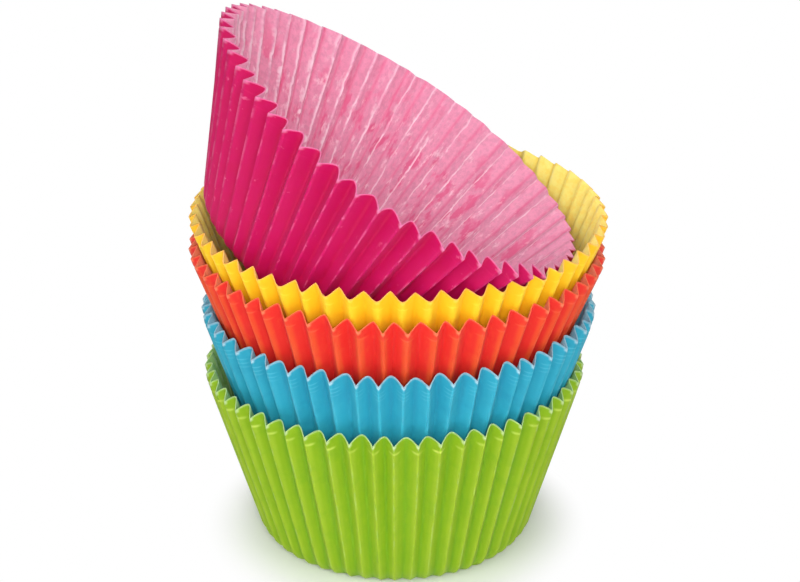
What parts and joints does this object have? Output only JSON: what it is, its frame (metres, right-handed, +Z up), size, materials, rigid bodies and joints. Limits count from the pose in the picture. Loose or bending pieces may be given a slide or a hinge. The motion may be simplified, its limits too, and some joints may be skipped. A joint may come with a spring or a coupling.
{
  "type": "stack of cupcake liners",
  "caption": "Pleated paper baking cups nested upright in a loose stack, the top one leaning at a slant in the rim below.",
  "frame": {"origin": "middle of the underside of the lowest liner's floor", "axes": "+Z up along the stack, -Y towards the viewer, +X to the right, where the top liner's mouth leans"},
  "size_m": [0.075, 0.0806, 0.1004],
  "materials": {
    "green_paper": "greaseproof paper, faint satin sheen",
    "blue_paper": "greaseproof paper, faint satin sheen",
    "red_paper": "greaseproof paper, faint satin sheen",
    "yellow_paper": "greaseproof paper, faint satin sheen",
    "pink_paper": "greaseproof paper, faint satin sheen"
  },
  "bodies": {
    "root": {"green_liner": "green_paper", "blue_liner": "blue_paper", "red_liner": "red_paper", "yellow_liner": "yellow_paper", "pink_liner": "pink_paper"}
  },
  "joints": []
}
